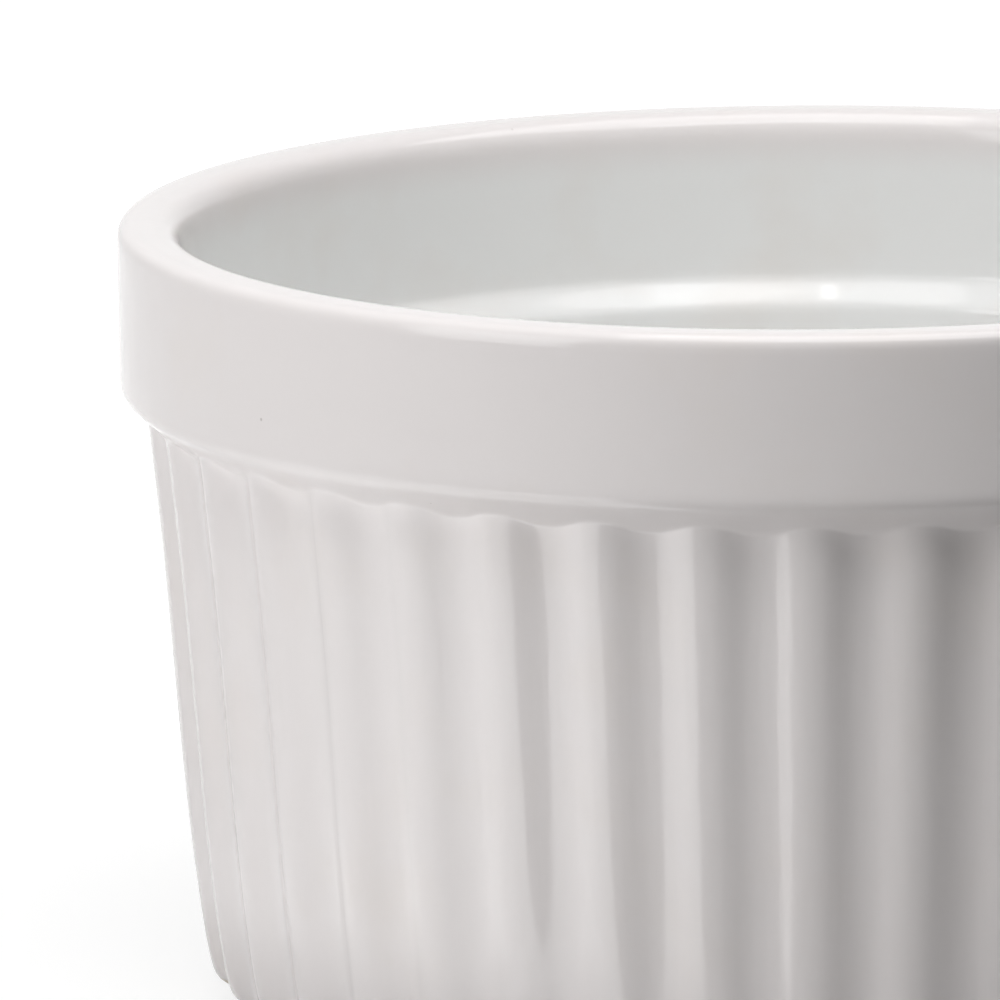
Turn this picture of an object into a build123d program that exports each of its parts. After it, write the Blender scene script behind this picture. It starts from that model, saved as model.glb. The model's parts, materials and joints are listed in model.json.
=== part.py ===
from build123d import *
from math import atan2, cos, degrees, hypot, radians, sin, sqrt, tan
import os

# A fluted porcelain ramekin, fired in one piece and glazed all over but for its foot ring.
# Origin at the centre of the face that it stands on, +Z up, millimetres.
# Each outline is the glazed surface; the porcelain under it is drawn in by the glaze.

# Overall size
band_radius = 45.0
overall_height = 51.5

# Rim and the smooth band under it
rim_width = 4.1
rim_outer_round = 0.85
rim_inner_round = 1.5
band_height = 10.9
band_overhang = 1.7
band_corner_round = 1.1
band_underside_angle = 50.0

# Fluted wall, measured over its ridges
wall_taper = 3.8
flute_root_round = 0.5
wall_foot_round = 1.1
wall_foot_flare_angle = 24.0
flute_count = 40
flute_depth = 0.7
ridge_to_groove_share = 0.87

# How far down the wall each section lies, and how much of the taper it has there;
# the first lies within the band and the last under the wall's foot
wall_level_shares = (-0.1, 0.0, 0.25, 0.55, 0.82, 0.93, 1.03)
wall_taper_shares = (-0.14, 0.0, 0.25, 0.47, 0.705, 0.85, 1.04)

# Inside of the dish, which steps in a little below the band
mouth_draft_angle = 1.0
shoulder_depth = 11.5
shoulder_step = 1.35
shoulder_angle = 36.0
shoulder_round = 3.3
inner_wall_draft_angle = 4.2
cove_radius = 8.0
floor_thickness = 4.0

# Foot ring, left bare where the dish stands in the kiln
foot_radius = 35.6
foot_width = 2.6
foot_height = 0.75
foot_edge_round = 0.3
bare_height = 0.5
underside_rise = 0.75
recess_depth = 1.3
recess_draft_angle = 15.0
recess_round = 0.8

# Glaze
glaze_thickness = 0.25

# How far a solid runs past the one that it cuts or joins
overrun = 4.0

# Sizes that follow
wall_top_radius = band_radius - band_overhang
wall_foot_radius = wall_top_radius - wall_taper
mouth_radius = band_radius - rim_width
band_corner_height = overall_height - band_height
underside_slope = tan(radians(band_underside_angle))
wall_top_height = band_corner_height - band_overhang / underside_slope
wall_foot_height = foot_height + underside_rise
wall_height = wall_top_height - wall_foot_height
floor_height = recess_depth + floor_thickness


def round_corner(face, point, radius):
    corner = face.vertices().sort_by_distance(Vector(*point))[0]
    return fillet(corner, radius)


def turned(face, growth=0.0):
    # Grow an outline drawn beside the axis, then spin it round the axis
    if growth:
        face = offset(face, amount=growth, kind=Kind.INTERSECTION)
    reach = band_radius + overall_height
    right_half = Pos(reach, 0) * Rectangle(2 * reach, 4 * reach)
    return revolve(Plane.XZ * (face & right_half), Axis.Z)


def band_outline():
    # Rim, face and sloping underside of the band, closed across the dish
    inner_radius = wall_top_radius - flute_depth - overrun
    inner_height = band_corner_height - (band_radius - inner_radius) / underside_slope
    rim_corner = (band_radius, overall_height)
    lower_corner = (band_radius, band_corner_height)
    points = [
        (-overrun, overall_height),
        rim_corner,
        lower_corner,
        (inner_radius, inner_height),
        (-overrun, inner_height),
    ]
    face = make_face(Polyline(*points, close=True))
    face = round_corner(face, rim_corner, rim_outer_round)
    return round_corner(face, lower_corner, band_corner_round)


def foot_envelope_outline():
    # Rounds the lower ends of the flutes and slopes in under them to the foot
    flare_width = wall_height * tan(radians(wall_foot_flare_angle))
    wall_corner = (wall_foot_radius, wall_foot_height)
    points = [
        (-overrun, foot_height),
        (foot_radius, foot_height),
        wall_corner,
        (wall_foot_radius + flare_width, wall_top_height),
        (wall_foot_radius + flare_width, overall_height),
        (-overrun, overall_height),
    ]
    face = make_face(Polyline(*points, close=True))
    return round_corner(face, wall_corner, wall_foot_round)


def cavity_outline():
    # Mouth, shoulder, wall, cove and floor of the inside
    mouth_slope = tan(radians(mouth_draft_angle))
    wall_slope = tan(radians(inner_wall_draft_angle))
    shoulder_top = (mouth_radius - shoulder_depth * mouth_slope, overall_height - shoulder_depth)
    shoulder_drop = shoulder_step / tan(radians(shoulder_angle))
    shoulder_foot = (shoulder_top[0] - shoulder_step, shoulder_top[1] - shoulder_drop)
    floor_corner_radius = shoulder_foot[0] - (shoulder_foot[1] - floor_height) * wall_slope
    floor_corner = (floor_corner_radius, floor_height)
    points = [
        (-overrun, overall_height + overrun),
        (mouth_radius + overrun * mouth_slope, overall_height + overrun),
        shoulder_top,
        shoulder_foot,
        floor_corner,
        (-overrun, floor_height),
    ]
    face = make_face(Polyline(*points, close=True))
    face = round_corner(face, shoulder_top, shoulder_round)
    face = round_corner(face, shoulder_foot, shoulder_round)
    return round_corner(face, floor_corner, cove_radius)


def recess_outline():
    # Shallow recess inside the foot ring
    recess_radius = foot_radius - foot_width
    recess_slope = tan(radians(recess_draft_angle))
    ceiling_corner = (recess_radius - recess_depth * recess_slope, recess_depth)
    points = [
        (-overrun, -overrun),
        (recess_radius + overrun * recess_slope, -overrun),
        ceiling_corner,
        (-overrun, recess_depth),
    ]
    face = make_face(Polyline(*points, close=True))
    return round_corner(face, ceiling_corner, recess_round)


def foot_outline():
    standing_corner = (foot_radius, 0)
    points = [
        (-overrun, 0),
        standing_corner,
        (foot_radius, wall_foot_height),
        (-overrun, wall_foot_height),
    ]
    face = make_face(Polyline(*points, close=True))
    return round_corner(face, standing_corner, foot_edge_round)


def flute_section(ridge_radius, height, inset):
    # Ridges and grooves as arcs that run smoothly into each other, at one height
    pitch = 360 / flute_count
    half_turn = cos(radians(pitch / 2))
    groove_radius = ridge_radius - flute_depth
    share = ridge_to_groove_share
    # The groove's arc that just touches the ridge's arc solves a quadratic
    square_term = 2 * share * (half_turn - 1)
    linear_term = 2 * (groove_radius - share * ridge_radius
                       - half_turn * (ridge_radius - share * groove_radius))
    plain_term = (ridge_radius ** 2 + groove_radius ** 2
                  - 2 * half_turn * ridge_radius * groove_radius)
    root = sqrt(linear_term ** 2 - 4 * square_term * plain_term)
    groove_arc = (-linear_term - root) / (2 * square_term)
    ridge_arc = share * groove_arc
    ridge_centre = ridge_radius - ridge_arc
    groove_centre = groove_radius + groove_arc
    # Direction from the centre of a ridge's arc to the next groove's
    across = groove_centre * sin(radians(pitch / 2))
    along = groove_centre * half_turn - ridge_centre
    lean = degrees(atan2(across, along))
    arcs = []
    for index in range(flute_count):
        turn = index * pitch
        ridge_point = Vector(ridge_centre, 0).rotate(Axis.Z, turn)
        groove_point = Vector(groove_centre, 0).rotate(Axis.Z, turn + pitch / 2)
        arcs.append(CenterArc(ridge_point, ridge_arc - inset, turn - lean, 2 * lean))
        arcs.append(CenterArc(groove_point, groove_arc + inset, turn + lean + 180, pitch - 2 * lean))
    return Pos(0, 0, height) * make_face(arcs)


def fluted_wall(inset):
    sections = []
    for level_share, taper_share in zip(wall_level_shares, wall_taper_shares):
        height = wall_top_height - wall_height * level_share
        radius = wall_top_radius - wall_taper * taper_share
        sections.append(flute_section(radius, height, inset))
    return loft(sections)


def outside_form(inset):
    # Band and fluted wall together, with the flutes' upper ends rounded into the band
    wall = fluted_wall(inset) & turned(foot_envelope_outline(), -inset)
    outside = wall + turned(band_outline(), -inset)
    roots = []
    for edge in outside.edges():
        middle = edge.center()
        near_root = abs(middle.Z - wall_top_height) < 2 * flute_depth + inset
        if near_root and hypot(middle.X, middle.Y) < wall_top_radius + flute_depth / 2:
            roots.append(edge)
    return fillet(roots, flute_root_round + inset)


def dish(inset):
    # The dish without its foot ring, drawn in by the inset on every side
    hollow = outside_form(inset) - turned(cavity_outline(), inset)
    rim_top = hollow.faces().sort_by(Axis.Z)[-1]
    return fillet(rim_top.inner_wires()[0].edges(), rim_inner_round - inset)


def above_bare_ring():
    # Everything higher than the strip of the recess that is wiped clean of glaze
    standing = (Align.CENTER, Align.CENTER, Align.MIN)
    return Pos(0, 0, bare_height) * Cylinder(band_radius, overall_height, align=standing)


# The dish and its foot disc in porcelain, before the recess is cut
core = dish(glaze_thickness) + turned(foot_outline())
glazed_recess = turned(recess_outline())
fired_recess = turned(recess_outline(), glaze_thickness) & above_bare_ring()

porcelain_body = core - glazed_recess - fired_recess
glaze_coat = dish(0.0) - core
underside_glaze = fired_recess - glazed_recess

pieces = {
    "porcelain_body": porcelain_body,
    "glaze_coat": glaze_coat,
    "underside_glaze": underside_glaze,
}

os.makedirs("parts", exist_ok=True)
for name, piece in pieces.items():
    export_step(piece, "parts/" + name + ".step")
    print(name, "volume", round(piece.volume / 1000, 2), "cm3", "closed", piece.is_valid)
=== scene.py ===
import bpy
import json
from math import atan2, cos, degrees, hypot, radians, sin, tan
from mathutils import Matrix, Vector

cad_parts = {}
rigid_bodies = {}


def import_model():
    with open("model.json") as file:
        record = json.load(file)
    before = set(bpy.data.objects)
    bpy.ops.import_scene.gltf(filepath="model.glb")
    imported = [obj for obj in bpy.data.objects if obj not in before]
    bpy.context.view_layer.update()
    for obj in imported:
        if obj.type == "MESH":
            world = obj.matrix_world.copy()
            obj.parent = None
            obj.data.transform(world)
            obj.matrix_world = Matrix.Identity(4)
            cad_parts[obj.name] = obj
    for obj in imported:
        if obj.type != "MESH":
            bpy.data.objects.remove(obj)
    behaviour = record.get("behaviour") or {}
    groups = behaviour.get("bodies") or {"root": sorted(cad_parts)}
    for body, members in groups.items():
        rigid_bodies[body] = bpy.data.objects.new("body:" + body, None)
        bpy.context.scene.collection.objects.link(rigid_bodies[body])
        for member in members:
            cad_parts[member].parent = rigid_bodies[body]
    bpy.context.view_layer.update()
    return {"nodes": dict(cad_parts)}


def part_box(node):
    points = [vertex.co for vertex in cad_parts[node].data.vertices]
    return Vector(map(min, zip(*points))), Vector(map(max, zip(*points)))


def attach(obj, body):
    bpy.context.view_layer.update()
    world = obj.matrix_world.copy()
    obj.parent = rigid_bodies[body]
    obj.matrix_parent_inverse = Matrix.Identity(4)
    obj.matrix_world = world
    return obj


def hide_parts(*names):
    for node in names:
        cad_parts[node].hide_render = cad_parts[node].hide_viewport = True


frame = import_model()
print("frame loaded:", ", ".join(sorted(frame["nodes"])))

mm = 0.001
# how near a vertex lies to the corner that it stands for, and how near two vertices are merged
sameSpot = 0.02 * mm
mergeReach = 0.005 * mm


# Selecting, shaping and finishing

def deselectAll():
    for item in bpy.context.view_layer.objects:
        item.select_set(False)


def pick(mesh, test):
    # in edit mode, select the vertices that pass the test, with the edges between them
    bpy.ops.object.mode_set(mode="OBJECT")
    for part in (*mesh.polygons, *mesh.edges):
        part.select = False
    for vertex in mesh.vertices:
        vertex.select = test(vertex.co)
    bpy.ops.object.mode_set(mode="EDIT")


def applyModifier(item, kind, settings):
    modifier = item.modifiers.new(kind.title(), kind)
    for name, value in settings.items():
        setattr(modifier, name, value)
    bpy.ops.object.modifier_apply(modifier=modifier.name)


def drawProfile(points):
    # one vertex, drawn out from point to point of a profile that stands on the X axis
    deselectAll()
    bpy.ops.mesh.primitive_plane_add(size=1 * mm, location=(points[0][0], 0, points[0][1]))
    item = bpy.context.object
    bpy.ops.object.transform_apply(location=True, rotation=False, scale=False)
    bpy.ops.object.mode_set(mode="EDIT")
    bpy.ops.mesh.select_all(action="SELECT")
    bpy.ops.mesh.merge(type="CENTER")
    for (radius, height), (nextRadius, nextHeight) in zip(points, points[1:]):
        step = (nextRadius - radius, 0, nextHeight - height)
        bpy.ops.mesh.extrude_vertices_move(TRANSFORM_OT_translate={"value": step})
    return item


def roundCorner(mesh, corner, radius, turn, segments):
    # bevel this corner of the profile, where it turns by so many degrees, into an arc
    pick(mesh, lambda spot: hypot(spot.x - corner[0], spot.z - corner[1]) < sameSpot)
    width = radius * tan(radians(turn / 2))
    bpy.ops.mesh.bevel(offset=width, segments=segments, affect="VERTICES", clamp_overlap=False)


def turnRound(steps):
    # spin the profile about the upright axis and close the seam
    bpy.ops.mesh.select_all(action="SELECT")
    bpy.ops.mesh.spin(steps=steps, angle=radians(360), center=(0, 0, 0), axis=(0, 0, 1))
    bpy.ops.mesh.select_all(action="SELECT")
    bpy.ops.mesh.remove_doubles(threshold=mergeReach)
    bpy.ops.mesh.normals_make_consistent(inside=False)


# The glaze, over the outside, the rim and the inside, with the flutes pressed into its wall

glazeCoat = {
    "columnsPerFlute": 6,
    "flutes": 40,
    "fluteDepth": 0.7 * mm,
    "rimWidth": 4.1 * mm,
    "rimOuterRound": 0.85 * mm,
    "rimInnerRound": 1.5 * mm,
    "bandHeight": 10.9 * mm,
    "bandOverhang": 1.7 * mm,
    "bandCornerRound": 1.1 * mm,
    "undersideAngle": 50,
    "fluteRootRound": 0.6 * mm,
    "fluteRootTurn": 44,
    "wallTaper": 3.8 * mm,
    "wallFootHeight": 1.5 * mm,
    "wallFootRound": 1.1 * mm,
    "wallFootTurn": 68,
    "wallLevelShares": (0.07, 0.25, 0.4, 0.55, 0.69, 0.82, 0.93),
    "wallTaperShares": (0.07, 0.25, 0.365, 0.47, 0.58, 0.705, 0.85),
    "mouthDraft": 1.0,
    "shoulderDepth": 11.5 * mm,
    "shoulderStep": 1.35 * mm,
    "shoulderAngle": 36,
    "shoulderRound": 1.2 * mm,
    "innerDraft": 4.2,
    "coveRound": 8 * mm,
    "floorHeight": 5.3 * mm,
    "floorHoleRadius": 4 * mm,
    "footRadius": 35.6 * mm,
    "footHeight": 0.75 * mm,
    # the glaze's edge stands off the foot ring, and runs out and up from there
    "footGap": 0.05 * mm,
    "footRun": 2 * mm,
    "footRise": 0.39 * mm,
    "thickness": 0.25 * mm,
    # points between the corners, which keep the finer net true: down from the rim on the band, out from the
    # middle of the rim, in from both ends of the mouth, down the inside and in over the floor
    "bandDrops": (5 * mm, 1.5 * mm),
    "rimTopShift": 0.3 * mm,
    "mouthStep": 2.4 * mm,
    "mouthEase": 0.05 * mm,
    "shoulderEnd": 1.8 * mm,
    "insideMiddle": 25 * mm,
    "coveReach": 9.5 * mm,
    "floorMiddle": 16 * mm,
    # how many pieces each arc has
    "smallSegments": 2,
    "rimSegments": 3,
    "coveSegments": 4,
    # what is pressed lies this far out from the glaze's edge and from the inside
    "pressedStart": 2.5 * mm,
    "pressedGap": 1 * mm,
    # how far each column from a ridge to a groove is pressed, as a share of half the depth:
    # round ridges and grooves with steep sides between them, once the net is made finer
    "pressedShares": (1.18, 0.84, -0.84, -1.18),
}


def makeGlazeCoat():
    size = glazeCoat
    bandRadius, _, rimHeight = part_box("glaze_coat")[1]
    depth = size["fluteDepth"]

    # corners of the profile
    mouthRadius = bandRadius - size["rimWidth"]
    cornerHeight = rimHeight - size["bandHeight"]
    wallTopRadius = bandRadius - size["bandOverhang"]
    undersideSlope = tan(radians(size["undersideAngle"]))
    wallTopHeight = cornerHeight - size["bandOverhang"] / undersideSlope
    wallHeight = wallTopHeight - size["wallFootHeight"]
    wallFootRadius = wallTopRadius - size["wallTaper"]
    rimInner = (mouthRadius, rimHeight)
    rimOuter = (bandRadius, rimHeight)
    bandCorner = (bandRadius, cornerHeight)
    fluteRoot = (wallTopRadius - depth / 2, wallTopHeight - depth / 2 / undersideSlope)
    footCorner = (wallFootRadius - depth / 2, size["wallFootHeight"])
    shoulderRise = size["shoulderStep"] / tan(radians(size["shoulderAngle"]))
    shoulderTop = (mouthRadius - size["shoulderDepth"] * tan(radians(size["mouthDraft"])),
                   rimHeight - size["shoulderDepth"])
    shoulderFoot = (shoulderTop[0] - size["shoulderStep"], shoulderTop[1] - shoulderRise)
    innerSlope = tan(radians(size["innerDraft"]))
    floorHeight = size["floorHeight"]
    coveCorner = (shoulderFoot[0] - (shoulderFoot[1] - floorHeight) * innerSlope, floorHeight)

    def innerWall(height):
        return shoulderFoot[0] - (shoulderFoot[1] - height) * innerSlope, height

    # the profile, from the glaze's edge at the foot ring, over the rim, to near the middle of the floor
    holeRadius = size["floorHoleRadius"]
    footEdge = (size["footRadius"] + size["footGap"], size["footHeight"])
    footRun = (footEdge[0] + size["footRun"], footEdge[1] + size["footRise"])
    outerWall = []
    for level, taper in zip(size["wallLevelShares"], size["wallTaperShares"]):
        outerWall.append((fluteRoot[0] - size["wallTaper"] * taper, wallTopHeight - wallHeight * level))
    band = [(bandRadius, cornerHeight + size["bandCornerRound"])]
    for drop in size["bandDrops"]:
        band.append((bandRadius, rimHeight - drop))
    rimTop = ((mouthRadius + bandRadius) / 2 + size["rimTopShift"], rimHeight)
    mouth = [(mouthRadius - size["mouthEase"], rimHeight - size["mouthStep"]),
             (shoulderTop[0] + size["mouthEase"], shoulderTop[1] + size["mouthStep"])]
    inside = [innerWall(shoulderFoot[1] - size["shoulderEnd"]), innerWall(size["insideMiddle"]),
              innerWall(floorHeight + size["coveReach"])]
    floor = [(coveCorner[0] - size["coveReach"], floorHeight), (size["floorMiddle"], floorHeight),
             (holeRadius, floorHeight)]
    profile = [footEdge, footRun, footCorner, *reversed(outerWall), fluteRoot, bandCorner, *band, rimOuter,
               rimTop, rimInner, *mouth, shoulderTop, shoulderFoot, *inside, coveCorner, *floor]

    coat = drawProfile(profile)
    coat.name = "glazed_outside_and_inside"
    mesh = coat.data
    small, rim = size["smallSegments"], size["rimSegments"]
    roundCorner(mesh, footCorner, size["wallFootRound"], size["wallFootTurn"], small)
    roundCorner(mesh, fluteRoot, size["fluteRootRound"], size["fluteRootTurn"], small)
    roundCorner(mesh, bandCorner, size["bandCornerRound"], size["undersideAngle"], small)
    roundCorner(mesh, rimOuter, size["rimOuterRound"], 90, rim)
    roundCorner(mesh, rimInner, size["rimInnerRound"], 90 - size["mouthDraft"], rim)
    shoulderTopTurn = size["shoulderAngle"] - size["mouthDraft"]
    shoulderFootTurn = size["shoulderAngle"] - size["innerDraft"]
    roundCorner(mesh, shoulderTop, size["shoulderRound"], shoulderTopTurn, small)
    roundCorner(mesh, shoulderFoot, size["shoulderRound"], shoulderFootTurn, small)
    roundCorner(mesh, coveCorner, size["coveRound"], 90 - size["innerDraft"], size["coveSegments"])
    turnRound(size["columnsPerFlute"] * size["flutes"])
    print("glaze: turned from a profile of", len(profile), "points")

    # the flutes: each column of the wall is moved out to a ridge or in to a groove,
    # and where the wall starts it slides along the band's sloping underside
    pitch = 360 / size["flutes"]
    wallMiddleRadius = fluteRoot[0] - size["wallTaper"] / 2
    rootReach = size["fluteRootRound"]

    def columnStep(spot):
        turn = degrees(atan2(spot.y, spot.x)) % pitch
        fromRidge = min(turn, pitch - turn)
        return round(fromRidge * size["columnsPerFlute"] / pitch)

    def onWall(spot):
        radius = hypot(spot.x, spot.y)
        outside = radius > innerWall(spot.z)[0] + size["pressedGap"]
        return outside and radius > footEdge[0] + size["pressedStart"]

    for step, pressed in enumerate(size["pressedShares"]):
        shift = pressed * depth / 2
        pick(mesh, lambda spot: columnStep(spot) == step and onWall(spot)
             and spot.z < fluteRoot[1] + rootReach)
        share = 1 + shift / wallMiddleRadius
        bpy.ops.transform.resize(value=(share, share, 1), center_override=(0, 0, 0))
        pick(mesh, lambda spot: columnStep(spot) == step and onWall(spot)
             and abs(spot.z - fluteRoot[1]) < rootReach)
        bpy.ops.transform.translate(value=(0, 0, shift / undersideSlope))
    print("glaze: flutes pressed")

    bpy.ops.object.mode_set(mode="OBJECT")
    applyModifier(coat, "SUBSURF", {"levels": 1})
    # the flat middle of the floor is one face, closed once the net is fine, and then the coat gets thick
    pick(mesh, lambda spot: hypot(spot.x, spot.y) < holeRadius + sameSpot)
    bpy.ops.mesh.edge_face_add()
    bpy.ops.object.mode_set(mode="OBJECT")
    applyModifier(coat, "SOLIDIFY", {"thickness": size["thickness"], "offset": -1, "use_even_offset": True})
    bpy.ops.object.shade_smooth()
    print("glaze:", len(mesh.polygons), "faces")
    return coat


# Colours and materials

def fromHex(code):
    # sRGB hex to the linear colour that the shader takes
    parts = [int(code[place:place + 2], 16) / 255 for place in (1, 3, 5)]
    linear = [part / 12.92 if part < 0.04045 else ((part + 0.055) / 1.055) ** 2.4 for part in parts]
    return (*linear, 1)


def newMaterial(name):
    material = bpy.data.materials.new(name)
    material.use_nodes = True
    material.node_tree.nodes.clear()
    return material


def addNode(material, kind, inputs={}, **settings):
    # a node with its settings; an input is a value or the output that feeds it
    made = material.node_tree.nodes.new("ShaderNode" + kind)
    for name, value in settings.items():
        setattr(made, name, value)
    for socket, value in inputs.items():
        if isinstance(value, bpy.types.NodeSocket):
            material.node_tree.links.new(value, made.inputs[socket])
        else:
            made.inputs[socket].default_value = value
    return made


def useMaterial(item, material):
    item.data.materials.clear()
    item.data.materials.append(material)


# Porcelain dipped in a clear glaze and fired glossy. The eye sees an even warm white with clear, soft-edged
# reflections, faint clouds where the glaze ran thin, slow waves, upright runs down the wall and a few
# pinholes.
glazeLook = {
    "outside": "#F3EEED",
    # painted light: a lighter, cooler copy of the outside colour, for the dish's inside
    "inside": "#F8F8F7",
    "pooled": "#E6E8E7",
    "thin": "#EFE6DF",
    "speck": "#8B7F74",
    # painted light: the inside's lighter, cooler tint is full up to one radius, less the wall's lean,
    # and gone at the next, and it starts a little below the rim
    "insideLean": 0.1,
    "insideFull": 37.2 * mm,
    "insideEnd": 37.8 * mm,
    "belowRimStart": 1.2 * mm,
    "belowRimFull": 4.5 * mm,
    "poolFull": 6 * mm,
    "poolEnd": 16 * mm,
    "cloudSize": 9 * mm,
    "cloudDetail": 3,
    "cloudFrom": 0.52,
    "cloudTo": 0.75,
    "cloudShare": 0.25,
    "speckSpacing": 6.5 * mm,
    "speckRadius": 0.2 * mm,
    "speckCore": 0.5,
    "speckShare": 0.4,
    "waveSize": 12 * mm,
    "waveDetail": 1,
    "waveHeight": 0.05 * mm,
    # real orange peel is finer still, and this is as fine as shows
    "peelSize": 1.2 * mm,
    "peelHeight": 0.0025 * mm,
    "runWidth": 0.6 * mm,
    "runStretch": 0.03,
    "runHeight": 0.015 * mm,
    "runsFull": 36 * mm,
    "runsEnd": 38 * mm,
    "dullPatchSize": 7 * mm,
    "dullDetail": 3,
    "dullFrom": 0.35,
    "dullTo": 0.7,
    "glossyRoughness": 0.08,
    "dullRoughness": 0.14,
    "ior": 1.43,
}


def glazedPorcelain():
    material = newMaterial("glazed white porcelain")
    look = glazeLook
    place = addNode(material, "TexCoord").outputs["Object"]
    parts = addNode(material, "SeparateXYZ", {"Vector": place}).outputs
    level = addNode(material, "CombineXYZ", {"X": parts["X"], "Y": parts["Y"]})
    radius = addNode(material, "VectorMath", {0: level.outputs[0]}, operation="LENGTH").outputs["Value"]
    height = parts["Z"]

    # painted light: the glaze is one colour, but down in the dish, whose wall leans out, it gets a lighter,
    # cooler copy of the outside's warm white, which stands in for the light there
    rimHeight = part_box("glaze_coat")[1][2]
    lean = addNode(material, "Math", {0: height, 1: -look["insideLean"], 2: radius},
                   operation="MULTIPLY_ADD")
    insideWall = addNode(material, "MapRange", {
        "Value": lean.outputs[0], "From Min": look["insideFull"], "From Max": look["insideEnd"],
        "To Min": 1, "To Max": 0})
    belowRim = addNode(material, "MapRange", {
        "Value": height, "From Min": rimHeight - look["belowRimFull"],
        "From Max": rimHeight - look["belowRimStart"], "To Min": 1, "To Max": 0},
                       interpolation_type="SMOOTHSTEP")
    inDish = addNode(material, "Math", {0: insideWall.outputs[0], 1: belowRim.outputs[0]},
                     operation="MULTIPLY")
    paintedInsideLight = addNode(material, "Mix", {
        0: inDish.outputs[0], 6: fromHex(look["outside"]), 7: fromHex(look["inside"])}, data_type="RGBA")

    # it pools on the dish's floor and up its cove, where its thickness takes a little of the light
    pooling = addNode(material, "MapRange", {
        "Value": height, "From Min": look["poolFull"], "From Max": look["poolEnd"],
        "To Min": 1, "To Max": 0},
                      interpolation_type="SMOOTHSTEP")
    inWell = addNode(material, "Math", {0: inDish.outputs[0], 1: pooling.outputs[0]}, operation="MULTIPLY")
    pooled = addNode(material, "Mix", {
        0: inWell.outputs[0], 6: paintedInsideLight.outputs[2], 7: fromHex(look["pooled"])}, data_type="RGBA")

    # faint warmer clouds where the glaze is thin
    clouds = addNode(material, "TexNoise", {
        "Vector": place, "Scale": 1 / look["cloudSize"], "Detail": look["cloudDetail"]})
    thin = addNode(material, "MapRange", {
        "Value": clouds.outputs["Fac"], "From Min": look["cloudFrom"], "From Max": look["cloudTo"],
        "To Min": 0, "To Max": look["cloudShare"]})
    clouded = addNode(material, "Mix", {
        0: thin.outputs[0], 6: pooled.outputs[2], 7: fromHex(look["thin"])}, data_type="RGBA")

    # pinholes and iron specks of all sizes up to the largest radius
    cells = addNode(material, "TexVoronoi", {"Vector": place, "Scale": 1 / look["speckSpacing"]})
    chance = addNode(material, "SeparateColor", {"Color": cells.outputs["Color"]}).outputs["Red"]
    largest = look["speckRadius"] / look["speckSpacing"]
    reach = addNode(material, "Math", {0: chance, 1: largest}, operation="MULTIPLY")
    nearness = addNode(material, "Math", {0: cells.outputs["Distance"], 1: reach.outputs[0]},
                       operation="DIVIDE")
    speck = addNode(material, "MapRange", {
        "Value": nearness.outputs[0], "From Min": look["speckCore"], "From Max": 1,
        "To Min": look["speckShare"], "To Max": 0})
    speckled = addNode(material, "Mix", {
        0: speck.outputs[0], 6: clouded.outputs[2], 7: fromHex(look["speck"])}, data_type="RGBA")

    # slow waves and fine orange peel in the surface
    wave = addNode(material, "TexNoise", {
        "Vector": place, "Scale": 1 / look["waveSize"], "Detail": look["waveDetail"]})
    wavy = addNode(material, "Bump", {"Height": wave.outputs["Fac"], "Distance": look["waveHeight"]})
    peel = addNode(material, "TexNoise", {"Vector": place, "Scale": 1 / look["peelSize"]})
    peeled = addNode(material, "Bump", {
        "Height": peel.outputs["Fac"], "Distance": look["peelHeight"], "Normal": wavy.outputs[0]})

    # upright runs, only on the outer wall under the band
    squeezed = addNode(material, "VectorMath", {0: place, 1: (1, 1, look["runStretch"])},
                       operation="MULTIPLY")
    run = addNode(material, "TexNoise", {"Vector": squeezed.outputs[0], "Scale": 1 / look["runWidth"]})
    underBand = addNode(material, "MapRange", {
        "Value": height, "From Min": look["runsFull"], "From Max": look["runsEnd"],
        "To Min": 1, "To Max": 0})
    onWall = addNode(material, "Math", {0: underBand.outputs[0], 1: insideWall.outputs[0]},
                     operation="SUBTRACT", use_clamp=True)
    runLevel = addNode(material, "Math", {0: run.outputs["Fac"], 1: onWall.outputs[0]},
                       operation="MULTIPLY")
    surface = addNode(material, "Bump", {
        "Height": runLevel.outputs[0], "Distance": look["runHeight"], "Normal": peeled.outputs[0]})

    # glossy all over, a little duller in patches
    dull = addNode(material, "TexNoise", {
        "Vector": place, "Scale": 1 / look["dullPatchSize"], "Detail": look["dullDetail"]})
    roughness = addNode(material, "MapRange", {
        "Value": dull.outputs["Fac"], "From Min": look["dullFrom"], "From Max": look["dullTo"],
        "To Min": look["glossyRoughness"], "To Max": look["dullRoughness"]})
    shader = addNode(material, "BsdfPrincipled", {
        "Base Color": speckled.outputs[2], "Roughness": roughness.outputs[0], "IOR": look["ior"],
        "Normal": surface.outputs[0]})
    addNode(material, "OutputMaterial", {"Surface": shader.outputs["BSDF"]})
    return material


# The same clay left bare and fired hard: matt, a shade creamier, with a sandy grain, and grey marks
# on its standing face from the tables and shelves that it has slid over
bisqueLook = {
    "clay": "#E3DCD1",
    "grain": "#D6CCBE",
    "stain": "#B9AC9A",
    "grainSize": 0.5 * mm,
    "grainDetail": 4,
    "grainFrom": 0.4,
    "grainTo": 0.7,
    "grainHeight": 0.02 * mm,
    "markSize": 3 * mm,
    "markDetail": 5,
    "markFrom": 0.48,
    "markTo": 0.7,
    "markShare": 0.6,
    # how high up the foot ring the marks reach
    "markFull": 0.05 * mm,
    "markEnd": 0.4 * mm,
    "roughness": 0.8,
    "ior": 1.5,
}


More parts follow.
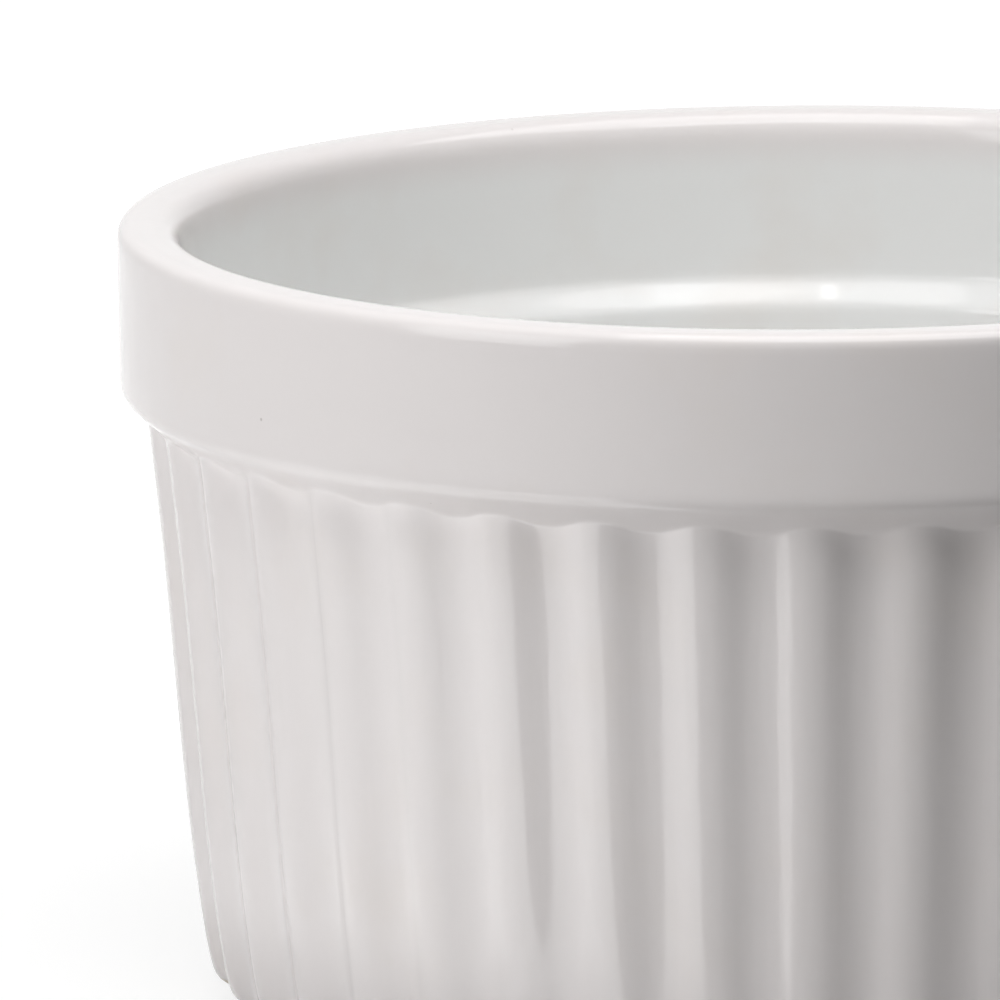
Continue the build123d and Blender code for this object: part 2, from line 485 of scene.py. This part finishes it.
def unglazedPorcelain():
    material = newMaterial("unglazed porcelain")
    look = bisqueLook
    place = addNode(material, "TexCoord").outputs["Object"]
    height = addNode(material, "SeparateXYZ", {"Vector": place}).outputs["Z"]
    grain = addNode(material, "TexNoise", {
        "Vector": place, "Scale": 1 / look["grainSize"], "Detail": look["grainDetail"]})
    share = addNode(material, "MapRange", {
        "Value": grain.outputs["Fac"], "From Min": look["grainFrom"], "From Max": look["grainTo"]})
    sandy = addNode(material, "Mix", {
        0: share.outputs[0], 6: fromHex(look["clay"]), 7: fromHex(look["grain"])}, data_type="RGBA")

    marks = addNode(material, "TexNoise", {
        "Vector": place, "Scale": 1 / look["markSize"], "Detail": look["markDetail"]})
    marked = addNode(material, "MapRange", {
        "Value": marks.outputs["Fac"], "From Min": look["markFrom"], "From Max": look["markTo"],
        "To Min": 0, "To Max": look["markShare"]})
    nearTable = addNode(material, "MapRange", {
        "Value": height, "From Min": look["markFull"], "From Max": look["markEnd"],
        "To Min": 1, "To Max": 0})
    stained = addNode(material, "Math", {0: marked.outputs[0], 1: nearTable.outputs[0]},
                      operation="MULTIPLY")
    colour = addNode(material, "Mix", {
        0: stained.outputs[0], 6: sandy.outputs[2], 7: fromHex(look["stain"])}, data_type="RGBA")
    rough = addNode(material, "Bump", {"Height": grain.outputs["Fac"], "Distance": look["grainHeight"]})
    shader = addNode(material, "BsdfPrincipled", {
        "Base Color": colour.outputs[2], "Roughness": look["roughness"], "IOR": look["ior"],
        "Normal": rough.outputs[0]})
    addNode(material, "OutputMaterial", {"Surface": shader.outputs["BSDF"]})
    return material


glaze = glazedPorcelain()
bisque = unglazedPorcelain()

coat = makeGlazeCoat()
useMaterial(coat, glaze)
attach(coat, "root")
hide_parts("glaze_coat")
useMaterial(frame["nodes"]["porcelain_body"], bisque)
useMaterial(frame["nodes"]["underside_glaze"], glaze)


# Floor, lamps and camera

studio = {
    "floorSize": 6.0,
    # white paper with painted shade: its colour turns grey on the side away from the key lamp
    "paper": "#F6F6F6",
    "paperShade": "#6C6C6C",
    "toKey": (-0.98, 0.17, 0),
    "shadeBlend": 0.1,
    # how white the floor is seen, beside the dish and away from it, before the lamps add to it
    "nearGlow": 0.8,
    "farGlow": 1.0,
    "nearReach": 0.06,
    "farReach": 0.2,
    "shadowShare": 0.3,
    "fill": 0.02,
    # the height at which the lamps aim
    "lampAim": 0.035,
}


def seenDirectly(material):
    # 1 for what the camera sees, straight on or mirrored, and 0 for the light that falls on the object
    path = addNode(material, "LightPath").outputs
    seen = addNode(material, "Math", {0: path["Is Camera Ray"], 1: path["Is Glossy Ray"]}, operation="ADD")
    return addNode(material, "Math", {0: seen.outputs[0], 1: path["Is Transmission Ray"]},
                   operation="ADD", use_clamp=True).outputs[0]


def makeFloor():
    deselectAll()
    bpy.ops.mesh.primitive_plane_add(size=studio["floorSize"])
    floor = bpy.context.object
    floor.name = "studio_floor"
    material = newMaterial("white sweep")
    place = addNode(material, "TexCoord").outputs["Object"]
    toKey = addNode(material, "VectorMath", {0: place, 1: studio["toKey"]}, operation="DOT_PRODUCT")
    side = addNode(material, "MapRange", {
        "Value": toKey.outputs["Value"], "From Min": -studio["shadeBlend"],
        "From Max": studio["shadeBlend"]})
    # painted shade: the paper's colour darkens on the side away from the key lamp, which cuts the light it
    # bounces
    paper = addNode(material, "Mix", {
        0: side.outputs[0], 6: fromHex(studio["paperShade"]), 7: fromHex(studio["paper"])},
                    data_type="RGBA")
    matte = addNode(material, "BsdfDiffuse", {"Color": paper.outputs[2]})
    # as it is seen, white paper that turns pure white away from the dish and keeps the dish's shadow
    away = addNode(material, "VectorMath", {0: place}, operation="LENGTH").outputs["Value"]
    strength = addNode(material, "MapRange", {
        "Value": away, "From Min": studio["nearReach"], "From Max": studio["farReach"],
        "To Min": studio["nearGlow"], "To Max": studio["farGlow"]}, interpolation_type="SMOOTHSTEP")
    glow = addNode(material, "Emission", {"Color": (1, 1, 1, 1), "Strength": strength.outputs[0]})
    share = studio["shadowShare"]
    shaded = addNode(material, "BsdfDiffuse", {"Color": (share, share, share, 1)})
    shown = addNode(material, "AddShader", {0: shaded.outputs[0], 1: glow.outputs[0]})
    mixed = addNode(material, "MixShader", {
        0: seenDirectly(material), 1: matte.outputs[0], 2: shown.outputs[0]})
    addNode(material, "OutputMaterial", {"Surface": mixed.outputs[0]})
    useMaterial(floor, material)


def aim(item, target):
    item.rotation_mode = "QUATERNION"
    item.rotation_quaternion = (Vector(target) - item.location).to_track_quat("-Z", "Y")


softboxes = {
    "key_softbox": {
        "azimuth": -50, "elevation": 17, "distance": 0.3, "width": 0.15, "height": 0.19, "power": 0.265},
    "overhead_softbox": {
        "azimuth": 75, "elevation": 79, "distance": 0.52, "width": 0.5, "height": 0.5, "power": 2.2},
    "left_softbox": {
        "azimuth": -75, "elevation": 68, "distance": 0.6, "width": 0.5, "height": 0.4, "power": 0.3},
    "front_strip": {
        "azimuth": -2, "elevation": 61, "distance": 0.85, "width": 0.7, "height": 0.22, "power": 1.2},
    "front_bulb": {
        "azimuth": -8, "elevation": 61, "distance": 0.84, "width": 0.025, "height": 0.025, "power": 0.03},
}


def makeSoftboxes():
    middle = Vector((0, 0, studio["lampAim"]))
    for name, box in softboxes.items():
        lamp = bpy.data.lights.new(name, "AREA")
        lamp.shape = "RECTANGLE"
        lamp.size, lamp.size_y = box["width"], box["height"]
        lamp.energy = box["power"]
        holder = bpy.data.objects.new(name, lamp)
        bpy.context.scene.collection.objects.link(holder)
        azimuth, elevation = radians(box["azimuth"]), radians(box["elevation"])
        away = Vector((sin(azimuth) * cos(elevation), -cos(azimuth) * cos(elevation), sin(elevation)))
        holder.location = middle + away * box["distance"]
        holder.visible_camera = False
        aim(holder, middle)


# painted reflection: a glowing sheet that stands in for the bright table beside the dish, mirrored by the
# glaze in crisp upright strips on the flutes' left flanks. It is no lamp: it lights nothing and isn't seen
# directly
paintedTableReflection = {
    "size": 0.4,
    "height": 0.5 * mm,
    "glow": 2.2,
    # crisp on the edge that runs out from the foot to the front left, and faded out round the left side
    "edgeAzimuth": -39,
    "edgeStart": (-5 * mm, -41.8 * mm, 0),
    "edgeBlend": 1.5 * mm,
    "fadeStart": -50,
    "fadeEnd": -120,
    # it grows from nothing beside the dish to its full strength, and ends further out
    "dimReach": 44 * mm,
    "brightReach": 62 * mm,
    "endStart": 130 * mm,
    "endReach": 138 * mm,
}


def makePaintedTableReflection():
    glare = paintedTableReflection
    deselectAll()
    bpy.ops.mesh.primitive_plane_add(size=glare["size"])
    sheet = bpy.context.object
    sheet.name = "painted_table_reflection"
    for vertex in sheet.data.vertices:
        vertex.co.z = glare["height"]
    material = newMaterial("painted table reflection")
    place = addNode(material, "TexCoord").outputs["Object"]
    parts = addNode(material, "SeparateXYZ", {"Vector": place}).outputs
    level = addNode(material, "CombineXYZ", {"X": parts["X"], "Y": parts["Y"]})
    radius = addNode(material, "VectorMath", {0: level.outputs[0]}, operation="LENGTH").outputs["Value"]
    forward = addNode(material, "Math", {0: parts["Y"], 1: -1}, operation="MULTIPLY")
    turn = addNode(material, "Math", {0: parts["X"], 1: forward.outputs[0]}, operation="ARCTAN2")
    azimuth = addNode(material, "Math", {0: turn.outputs[0]}, operation="DEGREES").outputs[0]
    edgeTurn = radians(glare["edgeAzimuth"])
    fromEdge = addNode(material, "VectorMath", {0: place, 1: glare["edgeStart"]}, operation="SUBTRACT")
    pastEdge = addNode(material, "VectorMath", {
        0: fromEdge.outputs[0], 1: (-cos(edgeTurn), -sin(edgeTurn), 0)}, operation="DOT_PRODUCT")
    edge = addNode(material, "MapRange", {
        "Value": pastEdge.outputs["Value"], "From Max": glare["edgeBlend"]})
    fade = addNode(material, "MapRange", {
        "Value": azimuth, "From Min": glare["fadeEnd"], "From Max": glare["fadeStart"]},
                   interpolation_type="SMOOTHSTEP")
    sector = addNode(material, "Math", {0: edge.outputs[0], 1: fade.outputs[0]}, operation="MULTIPLY")
    grown = addNode(material, "MapRange", {
        "Value": radius, "From Min": glare["dimReach"], "From Max": glare["brightReach"]},
                    interpolation_type="SMOOTHSTEP")
    within = addNode(material, "MapRange", {
        "Value": radius, "From Min": glare["endReach"], "From Max": glare["endStart"],
        "To Max": glare["glow"]})
    outwards = addNode(material, "Math", {0: grown.outputs[0], 1: within.outputs[0]}, operation="MULTIPLY")
    strength = addNode(material, "Math", {0: sector.outputs[0], 1: outwards.outputs[0]},
                       operation="MULTIPLY")
    # painted reflection: the sheet's glow, seen only where the glaze mirrors it
    glow = addNode(material, "Emission", {"Color": (1, 1, 1, 1), "Strength": strength.outputs[0]})
    clear = addNode(material, "BsdfTransparent")
    shown = addNode(material, "AddShader", {0: glow.outputs[0], 1: clear.outputs[0]})
    addNode(material, "OutputMaterial", {"Surface": shown.outputs[0]})
    useMaterial(sheet, material)
    sheet.visible_camera = False
    sheet.visible_diffuse = False
    sheet.visible_shadow = False
    sheet.visible_transmission = False


def makeWorld():
    # white where it is seen, and a faint fill where it lights
    world = bpy.data.worlds.new("studio")
    bpy.context.scene.world = world
    world.use_nodes = True
    world.node_tree.nodes.clear()
    white = addNode(world, "Background", {"Color": (1, 1, 1, 1), "Strength": 1})
    fill = addNode(world, "Background", {"Color": (1, 1, 1, 1), "Strength": studio["fill"]})
    mixed = addNode(world, "MixShader", {0: seenDirectly(world), 1: fill.outputs[0], 2: white.outputs[0]})
    addNode(world, "OutputWorld", {"Surface": mixed.outputs[0]})


# the camera stands in front and a little above, and looks past the dish's left side
viewpoint = {
    "distance": 678.9 * mm,
    "height": 168.0 * mm,
    "azimuth": -0.58,
    "panLeft": 1.696,
    "tiltDown": 11.294,
    "roll": -0.564,
    "lens": 378.4,
    "sensorWidth": 36,
    "clipStart": 0.05,
}


def makeCamera():
    camera = bpy.data.objects.new("camera", bpy.data.cameras.new("camera"))
    bpy.context.scene.collection.objects.link(camera)
    azimuth = radians(viewpoint["azimuth"])
    place = Vector((sin(azimuth), -cos(azimuth), 0)) * viewpoint["distance"]
    place.z = viewpoint["height"]
    heading = Matrix.Rotation(azimuth + radians(viewpoint["panLeft"]), 4, "Z")
    tilt = Matrix.Rotation(radians(90 - viewpoint["tiltDown"]), 4, "X")
    roll = Matrix.Rotation(radians(viewpoint["roll"]), 4, "Z")
    camera.matrix_world = Matrix.Translation(place) @ heading @ tilt @ roll
    camera.data.lens = viewpoint["lens"]
    camera.data.sensor_width = viewpoint["sensorWidth"]
    camera.data.clip_start = viewpoint["clipStart"]
    bpy.context.scene.camera = camera


makeFloor()
makeWorld()
makeSoftboxes()
makePaintedTableReflection()
makeCamera()
bpy.context.scene.view_settings.view_transform = "Standard"
print("floor, lamps and camera placed")
